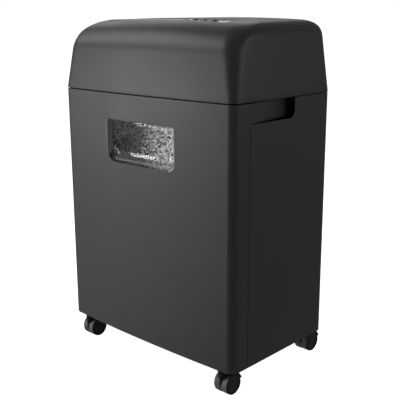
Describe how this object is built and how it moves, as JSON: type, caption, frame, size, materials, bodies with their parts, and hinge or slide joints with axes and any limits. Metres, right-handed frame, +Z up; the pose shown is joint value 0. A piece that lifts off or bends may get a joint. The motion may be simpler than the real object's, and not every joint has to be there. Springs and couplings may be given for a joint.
{
  "type": "paper shredder",
  "caption": "Upright office paper shredder: rounded dark grey head over a pull-out bin cabinet with a clear window, on twin-wheel swivel casters.",
  "frame": {"origin": "on the floor, under the middle of the whole machine's outline, casters included", "axes": "+Z up, -Y the front that the bin pulls out towards, +X to the right of someone facing the front"},
  "size_m": [0.3708, 0.2488, 0.5512],
  "materials": {
    "graphite_plastic": "fine spark-eroded satin",
    "dark_plastic": "moulded satin",
    "gloss_black": "polished",
    "clear_plastic": "clear, polished",
    "black_nylon": "moulded nylon",
    "wheel_grey": "soft tread",
    "steel": "turned",
    "cutter_steel": "ground and oiled",
    "zinc_plate": "zinc plated",
    "sintered_bronze": "sintered",
    "acetal": "natural acetal",
    "circuit_board": "solder mask",
    "paper_shreds": "loose shreds",
    "green_lens": "tinted"
  },
  "bodies": {
    "cabinet": {"cabinet_wrap": "graphite_plastic", "cabinet_base": "dark_plastic", "cabinet_top_frame": "dark_plastic", "bin_runner_left": "acetal", "bin_runner_right": "acetal", "head_base": "dark_plastic", "head_cover": "graphite_plastic", "throat_bezel": "gloss_black", "feed_guide": "black_nylon", "indicator_lens": "green_lens", "control_board": "circuit_board", "power_board": "circuit_board", "cord_grommet": "black_nylon", "frame_plate_left": "zinc_plate", "frame_plate_right": "zinc_plate", "shaft_bush_front_left": "sintered_bronze", "shaft_bush_front_right": "sintered_bronze", "shaft_bush_rear_left": "sintered_bronze", "shaft_bush_rear_right": "sintered_bronze", "tie_bar_front": "steel", "tie_bar_rear": "steel", "stripper_front": "zinc_plate", "stripper_rear": "zinc_plate", "motor_body": "zinc_plate", "gear_cover": "black_nylon", "compound_axle": "steel", "bin_switch": "black_nylon", "head_screw_left": "zinc_plate", "head_screw_right": "zinc_plate"},
    "bin": {"bin_front": "graphite_plastic", "bin_window": "clear_plastic", "bin_tub": "dark_plastic", "shredded_paper": "paper_shreds", "bin_magnet": "zinc_plate"},
    "front_cutter": {"cutter_shaft_front": "cutter_steel", "shaft_gear_front": "steel"},
    "rear_cutter": {"cutter_shaft_rear": "cutter_steel", "shaft_gear_rear": "steel"},
    "compound_wheel": {"compound_gear": "acetal"},
    "motor_rotor": {"motor_shaft": "steel", "motor_pinion": "steel"},
    "button_reverse": {"button_reverse": "gloss_black"},
    "button_power": {"button_power": "gloss_black"},
    "button_forward": {"button_forward": "gloss_black"},
    "caster_front_left_fork": {"caster_front_left_hood": "black_nylon", "caster_front_left_axle": "steel"},
    "caster_front_left_wheel_left": {"caster_front_left_wheel_left": "wheel_grey"},
    "caster_front_left_wheel_right": {"caster_front_left_wheel_right": "wheel_grey"},
    "caster_front_right_fork": {"caster_front_right_hood": "black_nylon", "caster_front_right_axle": "steel"},
    "caster_front_right_wheel_left": {"caster_front_right_wheel_left": "wheel_grey"},
    "caster_front_right_wheel_right": {"caster_front_right_wheel_right": "wheel_grey"},
    "caster_rear_left_fork": {"caster_rear_left_hood": "black_nylon", "caster_rear_left_axle": "steel"},
    "caster_rear_left_wheel_left": {"caster_rear_left_wheel_left": "wheel_grey"},
    "caster_rear_left_wheel_right": {"caster_rear_left_wheel_right": "wheel_grey"},
    "caster_rear_right_fork": {"caster_rear_right_hood": "black_nylon", "caster_rear_right_axle": "steel"},
    "caster_rear_right_wheel_left": {"caster_rear_right_wheel_left": "wheel_grey"},
    "caster_rear_right_wheel_right": {"caster_rear_right_wheel_right": "wheel_grey"}
  },
  "joints": [
    {"name": "bin_slide", "type": "slide", "parent": "cabinet", "child": "bin", "axis": [0, -1, 0], "range_m": [0, 0.18]},
    {"name": "button_reverse_press", "type": "slide", "parent": "cabinet", "child": "button_reverse", "axis": [0, 0, -1], "range_m": [0, 0.0012], "stiffness_N_per_m": 1500, "springref_m": -0.0004},
    {"name": "button_power_press", "type": "slide", "parent": "cabinet", "child": "button_power", "axis": [0, 0, -1], "range_m": [0, 0.0012], "stiffness_N_per_m": 1500, "springref_m": -0.0004},
    {"name": "button_forward_press", "type": "slide", "parent": "cabinet", "child": "button_forward", "axis": [0, 0, -1], "range_m": [0, 0.0012], "stiffness_N_per_m": 1500, "springref_m": -0.0004},
    {"name": "front_cutter_spin", "type": "hinge", "parent": "cabinet", "child": "front_cutter", "pos_m": [0, -0.05981, 0.472], "axis": [1, 0, 0], "continuous": true},
    {"name": "rear_cutter_spin", "type": "hinge", "parent": "cabinet", "child": "rear_cutter", "pos_m": [0, -0.02981, 0.472], "axis": [1, 0, 0], "continuous": true},
    {"name": "compound_spin", "type": "hinge", "parent": "cabinet", "child": "compound_wheel", "pos_m": [0, -0.00634, 0.48196], "axis": [1, 0, 0], "continuous": true},
    {"name": "motor_spin", "type": "hinge", "parent": "cabinet", "child": "motor_rotor", "pos_m": [0, 0.02359, 0.48406], "axis": [1, 0, 0], "continuous": true},
    {"name": "caster_front_left_swivel", "type": "hinge", "parent": "cabinet", "child": "caster_front_left_fork", "pos_m": [-0.157, -0.10881, 0.043], "axis": [0, 0, 1], "continuous": true},
    {"name": "caster_front_left_wheel_left_spin", "type": "hinge", "parent": "caster_front_left_fork", "child": "caster_front_left_wheel_left", "pos_m": [-0.157, -0.09811, 0.0164], "axis": [1, 0, 0], "continuous": true},
    {"name": "caster_front_left_wheel_right_spin", "type": "hinge", "parent": "caster_front_left_fork", "child": "caster_front_left_wheel_right", "pos_m": [-0.157, -0.09811, 0.0164], "axis": [1, 0, 0], "continuous": true},
    {"name": "caster_front_right_swivel", "type": "hinge", "parent": "cabinet", "child": "caster_front_right_fork", "pos_m": [0.157, -0.10881, 0.043], "axis": [0, 0, 1], "continuous": true},
    {"name": "caster_front_right_wheel_left_spin", "type": "hinge", "parent": "caster_front_right_fork", "child": "caster_front_right_wheel_left", "pos_m": [0.157, -0.09811, 0.0164], "axis": [1, 0, 0], "continuous": true},
    {"name": "caster_front_right_wheel_right_spin", "type": "hinge", "parent": "caster_front_right_fork", "child": "caster_front_right_wheel_right", "pos_m": [0.157, -0.09811, 0.0164], "axis": [1, 0, 0], "continuous": true},
    {"name": "caster_rear_left_swivel", "type": "hinge", "parent": "cabinet", "child": "caster_rear_left_fork", "pos_m": [-0.157, 0.09619, 0.043], "axis": [0, 0, 1], "continuous": true},
    {"name": "caster_rear_left_wheel_left_spin", "type": "hinge", "parent": "caster_rear_left_fork", "child": "caster_rear_left_wheel_left", "pos_m": [-0.157, 0.10689, 0.0164], "axis": [1, 0, 0], "continuous": true},
    {"name": "caster_rear_left_wheel_right_spin", "type": "hinge", "parent": "caster_rear_left_fork", "child": "caster_rear_left_wheel_right", "pos_m": [-0.157, 0.10689, 0.0164], "axis": [1, 0, 0], "continuous": true},
    {"name": "caster_rear_right_swivel", "type": "hinge", "parent": "cabinet", "child": "caster_rear_right_fork", "pos_m": [0.157, 0.09619, 0.043], "axis": [0, 0, 1], "continuous": true},
    {"name": "caster_rear_right_wheel_left_spin", "type": "hinge", "parent": "caster_rear_right_fork", "child": "caster_rear_right_wheel_left", "pos_m": [0.157, 0.10689, 0.0164], "axis": [1, 0, 0], "continuous": true},
    {"name": "caster_rear_right_wheel_right_spin", "type": "hinge", "parent": "caster_rear_right_fork", "child": "caster_rear_right_wheel_right", "pos_m": [0.157, 0.10689, 0.0164], "axis": [1, 0, 0], "continuous": true}
  ],
  "couplings": [
    {"joint": "rear_cutter_spin", "follows": "front_cutter_spin", "ratio": -1},
    {"joint": "compound_spin", "follows": "front_cutter_spin", "ratio": 1.4286},
    {"joint": "motor_spin", "follows": "front_cutter_spin", "ratio": -5.7143}
  ]
}
